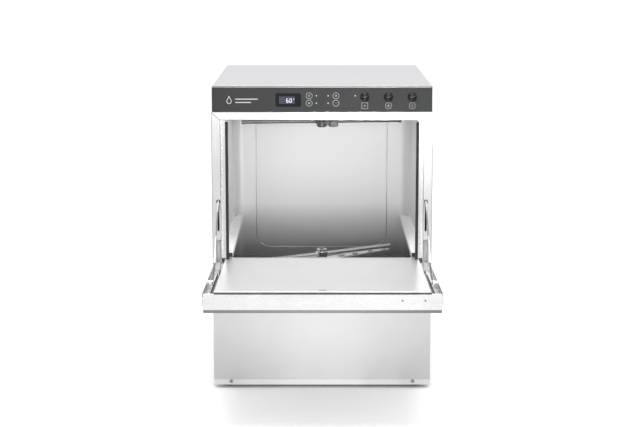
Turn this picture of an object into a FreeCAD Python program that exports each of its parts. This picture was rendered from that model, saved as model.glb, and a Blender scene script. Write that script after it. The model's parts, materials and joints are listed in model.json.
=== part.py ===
"""Under-counter commercial dishwasher with a drop-down door, for 500 x 500 mm racks.

Millimetres. The origin is on the floor under the middle of the cabinet, +X is to the right as seen
from the front, the front faces -Y and +Z is up. The door is modelled let down.
"""
import FreeCAD, Part

import math
import os
import re

import Sketcher
from FreeCAD import Placement, Rotation, Vector

DIMENSIONS = {
    # cabinet
    "half_width": 300.0,
    "front_plane": -310.0,
    "rear_plane": 310.0,
    "body_low": 10.0,
    "top_high": 846.0,
    "gauge": 1.0,
    "frame_gauge": 1.2,
    "trim_high": 26.0,
    "lower_panel_high": 338.0,
    # front frame and control panel
    "post_inner": 275.7,
    "bar_low": 751.6,
    "bar_high": 773.4,
    "seat_inner": 262.0,
    "seat_depth": 20.0,
    "keyhole_across": 283.0,
    "keyhole_height": 528.0,
    "keyhole_radius": 5.5,
    "slot_low": 446.0,
    "slot_half": 2.6,
    "fascia_half": 297.0,
    "fascia_low": 773.9,
    "fascia_high": 839.7,
    "fascia_gauge": 2.0,
    "button_height": 815.0,
    "button_radius": 10.5,
    "bezel_bore": 10.9,
    "bezel_radius": 12.9,
    # chamber and tank
    "chamber_half": 275.0,
    "chamber_back": 250.0,
    "chamber_low": 250.0,
    "chamber_high": 757.0,
    "sill_high": 363.0,
    "sill_front": -280.0,
    "chamber_front": -274.0,
    "tank_half": 225.0,
    "tank_front": -250.0,
    "tank_back": 210.0,
    "tank_low": 180.0,
    "tank_gauge": 1.2,
    "hub_y": -20.0,
    "rail_high": 378.5,
    # arms
    "spigot_radius": 12.0,
    "arm_bore": 12.08,
    "wash_arm_reach": 246.0,
    "rinse_arm_reach": 232.0,
    "lower_wash_azimuth": 34.0,
    "lower_rinse_azimuth": 28.0,
    "upper_wash_azimuth": -82.5,
    "upper_rinse_azimuth": 5.0,
    "standpipe_x": 200.0,
    "standpipe_y": -205.0,
    "standpipe_radius": 15.0,
    # door
    "hinge_y": -320.0,
    "hinge_z": 352.0,
    "door_tilt": 2.5,
    "door_travel": 87.5,
    "door_reach": 421.0,
    "door_half": 295.0,
    "door_face_half": 291.0,
    "door_tail": 8.0,
    "skin_face": -19.0,
    "flange_edge": 9.0,
    "handle_lip": -37.5,
    "lip_round": 9.0,
    "lip_drop": 18.0,
    "liner_face": 13.0,
    "liner_half": 266.0,
    "liner_tail": 34.0,
    "liner_reach": 398.0,
    "pin_radius": 4.0,
    "pin_bore": 4.06,
    "stay_pin_reach": 228.0,
    "stay_half": 5.0,
    "stay_gauge": 3.0,
    "spring_across": 293.0,
    "spring_radius": 4.0,
    # feet, pump and services
    "foot_x": 262.0,
    "foot_y": 266.0,
    "foot_radius": 20.0,
    "stem_radius": 5.0,
    "stem_bore": 5.06,
    "pump_x": 90.0,
    "pump_height": 105.0,
    "shaft_radius": 6.0,
    "shaft_bore": 6.06,
    "boiler_x": -190.0,
    "boiler_height": 105.0,
    "boiler_radius": 55.0,
    "inlet_radius": 13.2,
    "drain_radius": 12.5,
    "spigot_end_radius": 14.0,
    "gland_bore": 5.5,
}

doc = FreeCAD.newDocument("Dishwasher")
sheet = doc.addObject("Spreadsheet::Sheet", "Dimensions")
for row, (alias, number) in enumerate(DIMENSIONS.items(), start=1):
    sheet.set(f"A{row}", alias)
    sheet.set(f"B{row}", str(number))
    sheet.setAlias(f"B{row}", alias)
doc.recompute()

SUBPARTS = []
LEFT, RIGHT = -1, 1


# ---------------------------------------------------------------- helpers
def in_sheet(match):
    """A word of a formula, as a reference to its cell where it is an alias."""
    word = match.group(0)
    return "Dimensions." + word if word in DIMENSIONS else word


def bind(obj, prop, formula):
    """Drive one property of an object from the sheet."""
    obj.setExpression(prop, re.sub(r"[a-z][a-z_]+", in_sheet, str(formula)))


def size(formula):
    """The number that a formula of sheet aliases gives now."""
    words = dict(DIMENSIONS)
    total = 0.0
    for sign, term in re.findall(r"([+-]?)\s*([a-z_.0-9]+)", str(formula)):
        number = words[term] if term in words else float(term)
        total += -number if sign == "-" else number
    return total


def minus(formula):
    return f"-({formula})"


def across(side, inner, outer):
    """The low and high X of a stretch from inner to outer on one side of the middle."""
    return (inner, outer) if side == RIGHT else (minus(outer), minus(inner))


def block(x, y, z):
    """A box from its (low, high) formulas along X, Y and Z."""
    obj = doc.addObject("Part::Box", "Block")
    for letter, prop, (low, high) in zip("xyz", ("Length", "Width", "Height"), (x, y, z)):
        bind(obj, "Placement.Base." + letter, low)
        bind(obj, prop, f"({high}) - ({low})")
    return obj


TURN_TO = {"x": Rotation(Vector(0, 1, 0), 90), "y": Rotation(Vector(1, 0, 0), -90), "z": Rotation()}
OTHERS = {"x": "yz", "y": "xz", "z": "xy"}


def rod(axis, centre, span, radius, kind="Part::Cylinder"):
    """A cylinder along an axis, centred on the two other coordinates, from span low to high."""
    obj = doc.addObject(kind, "Rod")
    obj.Placement = Placement(Vector(), TURN_TO[axis])
    for letter, formula in zip(OTHERS[axis], centre):
        bind(obj, "Placement.Base." + letter, formula)
    bind(obj, "Placement.Base." + axis, span[0])
    bind(obj, "Height", f"({span[1]}) - ({span[0]})")
    bind(obj, "Radius", radius)
    return obj


def cone(axis, centre, span, low_radius, high_radius):
    obj = doc.addObject("Part::Cone", "Cone")
    obj.Placement = Placement(Vector(), TURN_TO[axis])
    for letter, formula in zip(OTHERS[axis], centre):
        bind(obj, "Placement.Base." + letter, formula)
    bind(obj, "Placement.Base." + axis, span[0])
    bind(obj, "Height", f"({span[1]}) - ({span[0]})")
    bind(obj, "Radius1", low_radius)
    bind(obj, "Radius2", high_radius)
    return obj


def ball(centre, radius):
    obj = doc.addObject("Part::Sphere", "Ball")
    for letter, formula in zip("xyz", centre):
        bind(obj, "Placement.Base." + letter, formula)
    bind(obj, "Radius", radius)
    return obj


def joined(*pieces):
    if len(pieces) == 1:
        return pieces[0]
    obj = doc.addObject("Part::MultiFuse", "Joined")
    obj.Shapes = list(pieces)
    obj.Refine = True
    return obj


def carved(base, *tools):
    obj = doc.addObject("Part::Cut", "Carved")
    obj.Base = base
    obj.Tool = joined(*tools)
    obj.Refine = True
    return obj


def grouped(*pieces):
    """Separate solids kept as one object."""
    obj = doc.addObject("Part::Compound", "Grouped")
    obj.Links = list(pieces)
    return obj


def rounded(base, radius, chosen, kind="Part::Fillet"):
    """Fillet the edges that a test picks."""
    doc.recompute()
    obj = doc.addObject(kind, "Rounded")
    obj.Base = base
    edges = enumerate(base.Shape.Edges, start=1)
    obj.Edges = [(index, radius, radius) for index, edge in edges if chosen(edge)]
    return obj


def runs_along(edge, direction):
    """Whether an edge is straight and parallel to a direction."""
    if edge.Curve.TypeId != "Part::GeomLine":
        return False
    return abs(edge.Curve.Direction.dot(direction)) > 0.999


def subpart(name, obj, base=None, turn=None):
    """Give an object its name and, where it isn't built in place, its position and turn."""
    obj.Label = name
    if turn:
        axis, angle = turn
        obj.Placement = Placement(Vector(), Rotation(axis, size(angle)))
        bind(obj, "Placement.Rotation.Angle", f"{angle} * 1 deg")
    if base:
        for letter, formula in zip("xyz", base):
            bind(obj, "Placement.Base." + letter, formula)
    SUBPARTS.append(obj)
    return obj


def on_door(name, obj):
    """A piece built with the door shut and the hinge axis at the origin, let down with the door."""
    return subpart(name, obj, (0, "hinge_y", "hinge_z"), (Vector(1, 0, 0), "door_travel"))


def origin_plane(body, role):
    return next(plane for plane in body.Origin.OriginFeatures if plane.Role == role)


def new_body(name):
    return doc.addObject("PartDesign::Body", name)


def new_sketch(body, role):
    sketch = body.newObject("Sketcher::SketchObject", "Outline")
    sketch.AttachmentSupport = [(origin_plane(body, role), "")]
    sketch.MapMode = "FlatFace"
    return sketch


def pin_point(sketch, index, point, formulas):
    """Hold one point of a sketch at the formulas' place."""
    for kind, prop in zip(("DistanceX", "DistanceY"), formulas):
        number = size(prop)
        if number < 0:
            named = sketch.addConstraint(Sketcher.Constraint(kind, index, point, -1, 1, -number))
            bind(sketch, f"Constraints[{named}]", minus(prop))
        elif number > 0:
            named = sketch.addConstraint(Sketcher.Constraint(kind, -1, 1, index, point, number))
            bind(sketch, f"Constraints[{named}]", prop)
        else:
            axis = "PointOnObject"
            line = -2 if kind == "DistanceX" else -1
            sketch.addConstraint(Sketcher.Constraint(axis, index, point, line))


def outline(body, role, corners):
    """A closed straight-sided outline through corners given as pairs of formulas."""
    sketch = new_sketch(body, role)
    places = [Vector(size(u), size(v), 0) for u, v in corners]
    count = len(places)
    for index, start in enumerate(places):
        sketch.addGeometry(Part.LineSegment(start, places[(index + 1) % count]))
    for index in range(count):
        sketch.addConstraint(Sketcher.Constraint("Coincident", index, 2, (index + 1) % count, 1))
    for index, formulas in enumerate(corners):
        pin_point(sketch, index, 1, formulas)
    return sketch


def circle(body, role, centre, radius):
    sketch = new_sketch(body, role)
    place = Vector(size(centre[0]), size(centre[1]), 0)
    sketch.addGeometry(Part.Circle(place, Vector(0, 0, 1), size(radius)))
    named = sketch.addConstraint(Sketcher.Constraint("Radius", 0, size(radius)))
    bind(sketch, f"Constraints[{named}]", radius)
    pin_point(sketch, 0, 3, centre)
    return sketch


def pad(body, sketch, depth, offset=0, both=False):
    """Pad a sketch; the sketch is first moved along its plane's normal by offset."""
    sketch.AttachmentOffset = Placement(Vector(0, 0, size(offset)), Rotation())
    bind(sketch, "AttachmentOffset.Base.z", offset)
    feature = body.newObject("PartDesign::Pad", "Pad")
    feature.Profile = sketch
    bind(feature, "Length", depth)
    feature.Midplane = both
    body.Tip = feature
    return feature


def pocket_through(body, sketch):
    """Cut a sketch's outline right through the body, both ways."""
    feature = body.newObject("PartDesign::Pocket", "Pocket")
    feature.Profile = sketch
    feature.Type = 1
    feature.Midplane = True
    body.Tip = feature
    return feature


def revolved(name, corners):
    """A turned piece about Z from its half section, given as (radius, height) pairs."""
    body = new_body(name)
    sketch = outline(body, "XZ_Plane", corners)
    feature = body.newObject("PartDesign::Revolution", "Turned")
    feature.Profile = sketch
    feature.ReferenceAxis = (sketch, ["V_Axis"])
    feature.Angle = 360
    body.Tip = feature
    return body


def repeated(body, feature, directions):
    """Repeat a cut in a grid: each direction is (axis role, length, count)."""
    grid = body.newObject("PartDesign::MultiTransform", "Grid")
    grid.Originals = [feature]
    patterns = []
    for role, length, count in directions:
        axis = next(line for line in body.Origin.OriginFeatures if line.Role == role)
        pattern = body.newObject("PartDesign::LinearPattern", "Pattern")
        pattern.Direction = (axis, [""])
        pattern.Length = length
        pattern.Occurrences = count
        patterns.append(pattern)
    grid.Transformations = patterns
    body.Tip = grid
    return body


def pipe_run(points, radius):
    """A tube run whose legs lie along the axes, with ball corners."""
    pieces = []
    for start, end in zip(points[:-1], points[1:]):
        places = [(size(a), size(b)) for a, b in zip(start, end)]
        number = next(i for i, (a, b) in enumerate(places) if abs(a - b) > 1e-6)
        axis = "xyz"[number]
        centre = [start["xyz".index(letter)] for letter in OTHERS[axis]]
        low, high = sorted((start[number], end[number]), key=size)
        pieces.append(rod(axis, centre, (low, high), radius))
    for corner in points[1:-1]:
        pieces.append(ball(corner, radius))
    return joined(*pieces)


# ---------------------------------------------------------------- cabinet
def make_base_frame():
    """A drip tray with a turned-up rim, and a threaded boss over each foot."""
    half, front, rear = "half_width - 4", "front_plane + 6", "rear_plane - 6"
    tray = block((minus(half), half), (front, rear), ("body_low + 2", "body_low + 36"))
    well = block((minus("half_width - 6"), "half_width - 6"), ("front_plane + 8", "rear_plane - 8"),
                 ("body_low + 4", "body_low + 40"))
    bosses = []
    bores = []
    for x in ("foot_x", "-foot_x"):
        for y in ("foot_y", "-foot_y"):
            bosses.append(rod("z", (x, y), ("body_low + 2", "body_low + 24"), 12))
            bores.append(rod("z", (x, y), ("body_low", "body_low + 30"), "stem_bore"))
    subpart("base_frame", carved(joined(carved(tray, well), *bosses), *bores))


def make_feet():
    """Four adjustable feet, each a turned pad with a screwed stem, shown screwed nearly home."""
    corners = (("front_left", "-foot_x", "-foot_y"), ("front_right", "foot_x", "-foot_y"),
               ("rear_left", "-foot_x", "foot_y"), ("rear_right", "foot_x", "foot_y"))
    section = [(0, 0), ("foot_radius", 0), ("foot_radius", 3), ("foot_radius - 5", 8),
               ("stem_radius", 8), ("stem_radius", 62), ("stem_radius - 1", 63), (0, 63)]
    for place, x, y in corners:
        subpart("foot_" + place, revolved("foot_" + place, section), (x, y, 0))


def make_side_panel(name, side):
    sheet_metal = block(across(side, "half_width - gauge", "half_width"),
                        ("front_plane + 20", "rear_plane - gauge"), ("body_low + 4", "fascia_high - 1"))
    return_edge = block(across(side, "half_width - 14", "half_width"),
                        ("rear_plane - 2", "rear_plane - gauge"), ("body_low + 4", "fascia_high - 1"))
    subpart(name, joined(sheet_metal, return_edge))


def make_top_panel():
    """A pressed lid with a folded lip all round, and softened upper corners."""
    lid = block((minus("fascia_half"), "fascia_half"), ("front_plane + 1", "rear_plane - 0.5"),
                ("fascia_high + 0.5", "top_high"))
    soft = rounded(lid, 3.0, lambda edge: edge.CenterOfMass.z > 845.9 or runs_along(edge, Vector(0, 0, 1)))
    inside = block((minus("fascia_half - 1.2"), "fascia_half - 1.2"),
                   ("front_plane + 2.2", "rear_plane - 1.7"), ("fascia_high", "top_high - 1.2"))
    subpart("top_panel", carved(soft, rounded(inside, 1.8, lambda edge: edge.CenterOfMass.z > 844.7
                                              or runs_along(edge, Vector(0, 0, 1)))))


def make_rear_panel():
    """A flat back with two columns of louvres and holes for water, drain and mains."""
    body = new_body("rear_panel_sheet")
    left, right = "-half_width + gauge", "half_width - gauge"
    low, high = "body_low + 4", "fascia_high - 1"
    corners = [(left, low), (right, low), (right, high), (left, high)]
    pad(body, outline(body, "XZ_Plane", corners), "gauge", "-rear_plane")
    slot = outline(body, "XZ_Plane", [(-210, 560), (-80, 560), (-80, 565), (-210, 565)])
    cut = pocket_through(body, slot)
    repeated(body, cut, (("X_Axis", 290, 2), ("Z_Axis", 154, 12)))
    holes = (rod("y", (-230, 90), (300, 320), "inlet_radius + 1"),
             rod("y", ("standpipe_x", 60), (300, 320), "drain_radius + 1"),
             rod("y", (240, 120), (300, 320), 10.2))
    subpart("rear_panel", carved(body, *holes))


def make_front_lower_panel():
    face = block((minus("half_width"), "half_width"), ("front_plane", "front_plane + gauge"),
                 ("trim_high + 0.5", "lower_panel_high"))
    sides = [block(across(side, "half_width - gauge", "half_width"), ("front_plane", "front_plane + 19"),
                   ("trim_high + 0.5", "lower_panel_high")) for side in (LEFT, RIGHT)]
    subpart("front_lower_panel", joined(face, *sides))


def make_base_trim():
    face = block((minus("half_width - 0.5"), "half_width - 0.5"), ("front_plane + 0.2", "front_plane + 1.4"),
                 ("body_low", "trim_high"))
    foot = block((minus("half_width - 5"), "half_width - 5"), ("front_plane + 0.2", "front_plane + 16"),
                 ("body_low", "body_low + 1.2"))
    holes = [rod("y", (x, 20.5), (-312, -300), 2.0) for x in (-252, 252)]
    subpart("base_trim", carved(joined(face, foot), *holes))


def make_front_frame():
    """The bright surround: face, step and recessed seat, with keyholes and hinge pockets."""
    back = "front_plane + frame_gauge"
    deep = "front_plane + seat_depth"
    seat_back = "front_plane + seat_depth + frame_gauge"
    low = "lower_panel_high + 0.5"
    step_inner = "post_inner - frame_gauge"
    face = block((minus("half_width"), "half_width"), ("front_plane", back), (low, "bar_high"))
    step = block((minus("post_inner"), "post_inner"), ("front_plane", seat_back),
                 (low, "bar_low + frame_gauge"))
    sides = [block(across(side, "half_width - frame_gauge", "half_width"),
                   ("front_plane", "front_plane + 19"), (low, "bar_high")) for side in (LEFT, RIGHT)]
    roof = block((minus("half_width"), "half_width"), ("front_plane", "front_plane + 19"),
                 ("bar_high - frame_gauge", "bar_high"))
    opening = block((minus(step_inner), step_inner), ("front_plane - 1", deep), (0, "bar_low"))
    mouth = block((minus("seat_inner"), "seat_inner"), (-320, -280), (0, "bar_low"))
    tools = [opening, mouth]
    for side in (LEFT, RIGHT):
        low_x, high_x = across(side, "keyhole_across - slot_half", "keyhole_across + slot_half")
        tools.append(block((low_x, high_x), (-312, -306), ("slot_low", "keyhole_height")))
        hole_x = "keyhole_across" if side == RIGHT else "-keyhole_across"
        tools.append(rod("y", (hole_x, "keyhole_height"), (-312, -306), "keyhole_radius"))
        tools.append(block(across(side, "post_inner", "post_inner + 13.3"), (-312, -306), (358.6, 421)))
    tools.append(block((minus(step_inner), step_inner), (-295, -280), (0, 366)))
    subpart("front_frame", carved(joined(face, step, roof, *sides), *tools))


def make_door_sill():
    """A curved trough round the hinge axis that keeps spray out of the lower compartment."""
    sector = doc.addObject("Part::Cylinder", "Sector")
    sector.Placement = Placement(Vector(), TURN_TO["x"].multiply(Rotation(Vector(0, 0, 1), 17)))
    for letter, formula in (("x", -273), ("y", "hinge_y"), ("z", "hinge_z")):
        bind(sector, "Placement.Base." + letter, formula)
    bind(sector, "Height", 546)
    bind(sector, "Radius", 41.6)
    hollow = rod("x", ("hinge_y", "hinge_z"), (-280, 280), 40.6)
    sector.Angle = 85
    subpart("door_sill", carved(sector, hollow))


def make_hinge_bracket(name, side):
    """A plate inside the post whose nose comes out of the pocket and carries the hinge pin."""
    span = across(side, "post_inner + 0.05", "post_inner + 3")
    plate = block(span, (-308.6, -294), (362, 419))
    nose = block(span, (-325, -294), (362, 374))
    neck = block(span, (-327, -313), ("hinge_z", 374))
    eye = rod("x", ("hinge_y", "hinge_z"), span, 7)
    pin = rod("x", ("hinge_y", "hinge_z"), across(side, "liner_half + 0.6", "post_inner + 2"), "pin_radius")
    subpart(name, joined(plate, nose, neck, eye, pin))


# ---------------------------------------------------------------- control panel
BUTTONS = (("button_power", 115), ("button_program", 179), ("button_start", 243))
LAMPS = ((-15.5, 818), (16, 818), (-15.5, 798), (16, 798), (89, 818))


def make_control_panel():
    """A dark fascia with folded top and bottom edges, a display opening and button holes."""
    low, high = "fascia_low", "fascia_high"
    face = block((minus("fascia_half"), "fascia_half"),
                 ("front_plane", "front_plane + fascia_gauge"), (low, high))
    folds = [block((minus("fascia_half"), "fascia_half"), ("front_plane", "front_plane + 22"), edge)
             for edge in ((low, "fascia_low + 1.5"), ("fascia_high - 1.5", high))]
    window = rounded(block((-126, -57), (-315, -305), (788, 825)), 5.0,
                     lambda edge: runs_along(edge, Vector(0, 1, 0)))
    holes = [rod("y", (x, "button_height"), (-315, -305), "bezel_radius - 0.5") for _, x in BUTTONS]
    lamps = [rod("y", place, (-315, -305), 1.6) for place in LAMPS]
    subpart("control_panel", carved(joined(face, *folds), window, *holes, *lamps))


def make_display_window():
    """A smoked lens set back in the display opening."""
    lens = block((-125.9, -57.1), (-308.8, -306.8), (788.1, 824.9))
    flange = block((-130, -53), (-307.8, -306.8), (784, 829))
    soft = rounded(lens, 4.9, lambda edge: runs_along(edge, Vector(0, 1, 0)))
    subpart("display_window", joined(soft, flange))


def make_control_board():
    """The circuit board behind the fascia with its display module and key switches."""
    board = block((-140, 270), (-292, -290.4), (781, 832))
    module = block((-121, -64), (-306.2, -292), (792, 821))
    switches = [block((x - 5, x + 5), (-293.5, -292), (810, 820)) for _, x in BUTTONS]
    posts = [rod("y", (x, z), (-292, -284), 3) for x in (-130, 60, 260) for z in (786, 827)]
    subpart("control_board", joined(board, module, *switches, *posts))


def make_lamps():
    guides = [rod("y", place, (-310.4, -293), 1.55) for place in LAMPS]
    subpart("indicator_lamps", grouped(*guides))


def make_bezels():
    rings = []
    for _, x in BUTTONS:
        ring = joined(rod("y", (x, "button_height"), (-311.2, -310), "bezel_radius"),
                      rod("y", (x, "button_height"), (-310.5, -306), "bezel_radius - 0.6"))
        rings.append(carved(ring, rod("y", (x, "button_height"), (-313, -300), "bezel_bore")))
    subpart("button_bezels", grouped(*rings))


def make_button(name, x):
    """A domed push button with its stem; built along Z, then turned to face the front."""
    section = [(0, 0), (3, 0), (3, 8), ("button_radius", 8), ("button_radius", 16),
               ("button_radius - 1.5", 17.8), ("button_radius - 4.5", 19), (0, 19.6)]
    cap = revolved(name, section)
    subpart(name, cap, (x, "front_plane + 12.8", "button_height"), (Vector(1, 0, 0), 90))


# ---------------------------------------------------------------- wash chamber
def make_wash_chamber():
    """The welded tub: open at the front above its sill and at the mouth of the tank."""
    rear = "chamber_back + gauge"
    outer = joined(
        block((minus("chamber_half + gauge"), "chamber_half + gauge"), ("chamber_front", rear),
              ("chamber_low - gauge", "chamber_high + gauge")),
        block((minus("chamber_half + gauge"), "chamber_half + gauge"), (-288.7, "chamber_front + 4"),
              ("sill_high - gauge", "chamber_high + gauge")))
    inner = joined(
        block((minus("chamber_half"), "chamber_half"), ("chamber_front + gauge", "chamber_back"),
              ("chamber_low", "chamber_high")),
        block((minus("chamber_half"), "chamber_half"), (-300, "chamber_front + 4"),
              ("sill_high", "chamber_high")))

    def corner(edge):
        upright = runs_along(edge, Vector(0, 0, 1)) and edge.CenterOfMass.y > 200
        level = runs_along(edge, Vector(0, 1, 0)) and edge.CenterOfMass.z > 700
        crown = runs_along(edge, Vector(1, 0, 0)) and edge.CenterOfMass.z > 700 and edge.CenterOfMass.y > 200
        return upright or level or crown

    shell = carved(rounded(outer, 31.0, corner), rounded(inner, 30.0, corner))
    mouth = block((minus("tank_half - tank_gauge"), "tank_half - tank_gauge"),
                  ("tank_front + tank_gauge", "tank_back - tank_gauge"), (240, 252))
    sweep = block((-276, 276), (-290, "sill_front"), (361, 363.2))
    feeds = rod("z", (0, "hub_y"), (750, 765), 16.1)
    field = block((-204.5, 204.5), ("chamber_back - 2.4", "chamber_back + 0.2"), (277, 720))
    soft_field = rounded(field, 46.0, lambda edge: runs_along(edge, Vector(0, 1, 0)))
    bevel = rounded(soft_field, 2.0, lambda edge: edge.CenterOfMass.y < 247.7, "Part::Chamfer")
    subpart("wash_chamber", joined(carved(shell, mouth, sweep, feeds), bevel))


def make_wash_tank():
    """The basin under the tub, with its flange, sump hole and drain hole."""
    half = "tank_half"
    outer = block((minus(half), half), ("tank_front", "tank_back"), ("tank_low", "chamber_low - gauge"))
    inner = block((minus("tank_half - tank_gauge"), "tank_half - tank_gauge"),
                  ("tank_front + tank_gauge", "tank_back - tank_gauge"), ("tank_low + tank_gauge", 260))

    def lower(edge):
        return edge.CenterOfMass.z < 182 or runs_along(edge, Vector(0, 0, 1))

    basin = carved(rounded(outer, 16.0, lower), rounded(inner, 14.8, lower))
    holes = (rod("z", (0, "hub_y"), (170, 200), 16.1),
             rod("z", ("pump_x", -150), (170, 200), 18.1),
             rod("z", ("standpipe_x", "standpipe_y"), (170, 200), 19.1),
             rod("y", (-150, 200), (200, 220), 4.1),
             rod("y", (-90, 200), (200, 220), 4.1))
    subpart("wash_tank", carved(basin, *holes))


def make_gasket():
    """A bulb strip up each side of the opening, with a short lip against the seat's flange."""
    strips = []
    for side in (LEFT, RIGHT):
        bulb = block(across(side, "seat_inner - 6", "seat_inner"),
                     ("liner_face + hinge_y + 0.6", -290), (366, 744.9))
        soft = rounded(bulb, 1.8, lambda edge: edge.CenterOfMass.y < -306.3)
        lip = block(across(side, "seat_inner - 1", "seat_inner + 2"), (-292, -290), (366, 744.9))
        strips.append(joined(soft, lip))
    subpart("door_gasket", grouped(*strips))


def make_rack_rail(name, side):
    """A folded rail: a shelf that narrows at the front, an upstand and a down-turned front tab."""
    body = new_body(name + "_shelf")
    sign = "" if side == RIGHT else "-"
    corners = [(sign + "247", -286), (sign + "262", -286), (sign + "274", -145), (sign + "274", 222),
               (sign + "264", 240), (sign + "256", 246), (sign + "247", 246)]
    if side == LEFT:
        corners.reverse()
    pad(body, outline(body, "XY_Plane", corners), 1.5, "rail_high - 1.5")
    upstand = block(across(side, 272.8, 274.3), (-145, 222), ("rail_high - 1.5", "rail_high + 16"))
    skirt = block(across(side, 247, 248.5), (-286, 246), ("rail_high - 14", "rail_high"))
    tab = block(across(side, 247, 261), (-286.6, -285.1), ("rail_high - 12", "rail_high"))
    subpart(name, joined(body, upstand, skirt, tab))


def make_tank_strainer():
    """A perforated plate over the tank, with holes for the manifold and the standpipe."""
    body = new_body("tank_strainer_sheet")
    corners = [(-238, -262), (238, -262), (238, 222), (-238, 222)]
    pad(body, outline(body, "XY_Plane", corners), 1.2, "chamber_low")
    slot = outline(body, "XY_Plane", [(-220, -245), (-130, -245), (-130, -241), (-220, -241)])
    cut = pocket_through(body, slot)
    repeated(body, cut, (("X_Axis", 350, 4), ("Y_Axis", 448, 25)))
    clear = [block((-36, 36), (-56, 16), (240, 260)), block((166, 234), (-239, -171), (240, 260))]
    pads = [block((-37, 37), (-57, 17), ("chamber_low", "chamber_low + 1.2")),
            block((165, 235), (-240, -170), ("chamber_low", "chamber_low + 1.2"))]
    holes = [rod("z", (0, "hub_y"), (240, 260), 18), rod("z", ("standpipe_x", "standpipe_y"), (240, 260), 17)]
    subpart("tank_strainer", carved(joined(carved(body, *clear), *pads), *holes))


def make_standpipe():
    """A lift-out overflow pipe with a knob; its foot plugs the drain."""
    pipe = "standpipe_radius"
    section = [(11, 170), (pipe, 172), (pipe, 286), ("standpipe_radius + 1.2", 288),
               ("standpipe_radius + 1.2", 294), ("standpipe_radius - 1", 298), (11, 298)]
    subpart("overflow_standpipe", revolved("overflow_standpipe", section), ("standpipe_x", "standpipe_y", 0))


def hairpin(x_low, x_high, y_root, y_turn, height, radius):
    """Two parallel legs along Y joined by a half turn."""
    middle = (x_low + x_high) / 2
    reach = (x_high - x_low) / 2
    turn = doc.addObject("Part::Torus", "Turn")
    turn.Radius1 = reach
    turn.Radius2 = radius
    turn.Angle3 = 180
    turn.Placement = Placement(Vector(middle, y_turn, height), Rotation(Vector(0, 0, 1), 180))
    legs = [rod("y", (x, height), (y_turn, y_root), radius) for x in (x_low, x_high)]
    return joined(turn, *legs)


def make_tank_heater():
    element = hairpin(-150, -90, 218, -150, 200, 4)
    plate = block((-170, -70), (210.05, 213), (185, 215))
    subpart("tank_heater", joined(element, plate))


# ---------------------------------------------------------------- water, pump and services
def make_boiler():
    span = (-200, 130)
    place = ("boiler_x", "boiler_height")
    shell = rounded(rod("y", place, span, "boiler_radius"), 14.0,
                    lambda edge: edge.Curve.TypeId == "Part::GeomCircle")
    hollow = rounded(rod("y", place, (-198.5, 128.5), "boiler_radius - 1.5"), 12.5,
                     lambda edge: edge.Curve.TypeId == "Part::GeomCircle")
    port = rod("y", place, (-210, -190), 20)
    outlet = rod("y", place, (120, 140), 6.1)
    saddles = []
    for y in (-150, 60):
        saddle = block((-232, -148), (y, y + 20), (14.1, 80))
        saddles.append(carved(saddle, rod("y", place, (y - 5, y + 25), "boiler_radius - 0.7")))
    subpart("boiler_shell", joined(carved(shell, hollow, port, outlet), *saddles))


def make_boiler_heater():
    flange = rod("y", ("boiler_x", "boiler_height"), (-207, -200.05), 30)
    plug = rod("y", ("boiler_x", "boiler_height"), (-201, -190), 19.5)
    rods = [rod("y", (x, "boiler_height"), (-192, 60), 4) for x in (-202, -178)]
    head = rod("y", ("boiler_x", "boiler_height"), (-222, -206.5), 18)
    subpart("boiler_heater", joined(flange, plug, head, *rods))


def make_pump():
    """The volute with its suction elbow, and the motor that drives the impeller."""
    place = ("pump_x", "pump_height")
    volute = joined(rod("y", place, (-96, -40), 58),
                    pipe_run([("pump_x", -96, "pump_height"), ("pump_x", -150, "pump_height"),
                              ("pump_x", -150, 186)], 18),
                    rod("x", (-68, 140), (20, "pump_x"), 15))
    chamber = joined(rod("y", place, (-92, -44), 54),
                     pipe_run([("pump_x", -94, "pump_height"), ("pump_x", -150, "pump_height"),
                               ("pump_x", -150, 190)], 15.5),
                     rod("x", (-68, 140), (10, "pump_x"), 12.5))
    shaft_hole = rod("y", place, (-50, -30), "shaft_bore")
    subpart("wash_pump_housing", carved(volute, chamber, shaft_hole))
    can = rounded(rod("y", place, (-39.9, 120), 46), 6.0, lambda edge: edge.Curve.TypeId == "Part::GeomCircle"
                  and edge.CenterOfMass.y > 0)
    ribs = [rod("y", place, (y, y + 4), 49) for y in range(-30, 90, 10)]
    foot = block((60, 120), (0, 80), (14.1, 70))
    bore = rod("y", place, (-45, 90), "shaft_bore")
    subpart("wash_pump_motor", carved(joined(can, foot, *ribs), bore))


def make_impeller():
    """The motor shaft with its six-bladed impeller."""
    body = new_body("pump_impeller")
    pad(body, circle(body, "XZ_Plane", (0, 0), "shaft_radius"), 168, -80)
    disc = circle(body, "XZ_Plane", (0, 0), 44)
    pad(body, disc, 4, 58)
    blade = outline(body, "XZ_Plane", [(5, -1.5), (42, -1.5), (42, 1.5), (5, 1.5)])
    feature = pad(body, blade, 24, 60)
    pattern = body.newObject("PartDesign::PolarPattern", "Blades")
    pattern.Originals = [feature]
    pattern.Axis = (next(line for line in body.Origin.OriginFeatures if line.Role == "Y_Axis"), [""])
    pattern.Angle = 360
    pattern.Occurrences = 6
    body.Tip = pattern
    subpart("pump_impeller", body, ("pump_x", 0, "pump_height"))


def manifold_legs(radius):
    """A level leg from the pump to the back, the riser over the tub, and a branch up to the lower hub."""
    main = pipe_run([(19, -68, 140), (0, -68, 140), (0, 280, 140), (0, 280, 800), (0, "hub_y", 800),
                     (0, "hub_y", "chamber_high")], radius)
    branch = rod("z", (0, "hub_y"), (140, 262), radius - 0.6)
    return joined(main, branch)


def make_manifold():
    """The pipe from the pump to both hubs; the riser runs behind the tub and over it."""
    bore = joined(manifold_legs(12.5), rod("x", (-68, 140), (0, 30), 12.5),
                  rod("z", (0, "hub_y"), (240, 270), 11.9), rod("z", (0, "hub_y"), (750, 780), 12.5))
    subpart("wash_manifold", carved(manifold_legs(15), bore))


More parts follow.
